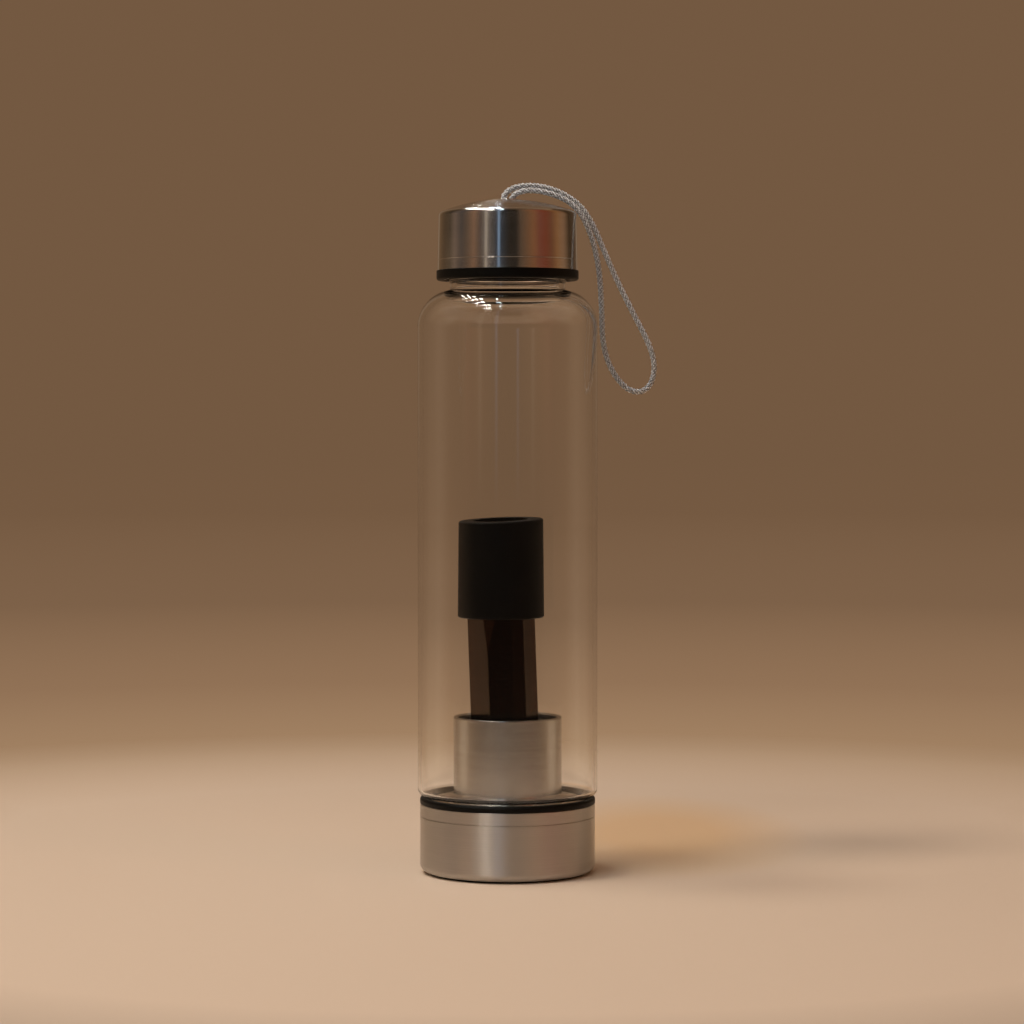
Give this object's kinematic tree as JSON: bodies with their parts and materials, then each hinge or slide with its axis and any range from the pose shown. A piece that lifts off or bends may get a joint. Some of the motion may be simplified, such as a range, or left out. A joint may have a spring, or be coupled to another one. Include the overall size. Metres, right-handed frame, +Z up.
{
  "type": "glass infuser water bottle",
  "caption": "Glass tube bottle with steel screw cap and base, a cup holding a faceted stone with a rubber sleeve, and a braided lanyard loop.",
  "frame": {"origin": "centre of the underside of the foot pad, on the bottle's axis", "axes": "+Z up along the bottle's axis, +X to the side the lanyard hangs on, -Y to the front"},
  "size_m": [0.087, 0.065, 0.2503],
  "materials": {
    "brushed_steel": "brushed round the axis, soft sheen",
    "satin_steel": "satin drawn steel",
    "bright_steel": "polished",
    "black_plastic": "glossy black moulding",
    "seal_silicone": "milky translucent silicone",
    "pad_rubber": "matt black",
    "clear_glass": "clear borosilicate, fire-polished",
    "smoky_stone": "polished smoky brown, slightly translucent",
    "sleeve_rubber": "matt black with a faint sheen",
    "braided_cord": "grey tight round braid"
  },
  "bodies": {
    "base": {"base_pad": "pad_rubber", "base_shell": "brushed_steel", "base_liner": "black_plastic", "cup_plate": "satin_steel", "stone_cup": "satin_steel"},
    "rim_seal": {"base_gasket": "seal_silicone"},
    "glass": {"glass_body": "clear_glass"},
    "cap_seal": {"cap_gasket": "seal_silicone"},
    "cap": {"cap_shell": "brushed_steel", "cap_liner": "black_plastic", "cap_eyelet": "bright_steel"},
    "lanyard": {"lanyard_washer": "bright_steel", "lanyard_knot": "braided_cord", "lanyard_loop": "braided_cord"},
    "stone": {"stone_point": "smoky_stone"},
    "sleeve": {"stone_sleeve": "sleeve_rubber"}
  },
  "joints": [
    {"name": "glass_rise", "type": "slide", "parent": "base", "child": "rim_seal", "axis": [0, 0, 1], "range_m": [0, 0.0211]},
    {"name": "glass_turn", "type": "hinge", "parent": "rim_seal", "child": "glass", "pos_m": [0, 0, 0], "axis": [0, 0, 1], "range_deg": [0, 1260]},
    {"name": "cap_rise", "type": "slide", "parent": "glass", "child": "cap_seal", "axis": [0, 0, 1], "range_m": [0, 0.0241]},
    {"name": "cap_turn", "type": "hinge", "parent": "cap_seal", "child": "cap", "pos_m": [0, 0, 0.22], "axis": [0, 0, 1], "range_deg": [0, 1080]},
    {"name": "lanyard_swivel", "type": "hinge", "parent": "cap", "child": "lanyard", "pos_m": [0, 0, 0.24], "axis": [0, 0, 1], "continuous": true},
    {"name": "stone_lift", "type": "slide", "parent": "base", "child": "stone", "axis": [0, 0, 1], "range_m": [0, 0.03]},
    {"name": "sleeve_pull", "type": "slide", "parent": "stone", "child": "sleeve", "axis": [-0.035, 0, 0.9994], "range_m": [0, 0.028]}
  ],
  "couplings": [
    {"joint": "glass_rise", "follows": "glass_turn", "m_per_rad": 0.00095493},
    {"joint": "cap_rise", "follows": "cap_turn", "m_per_rad": 0.0012732}
  ]
}
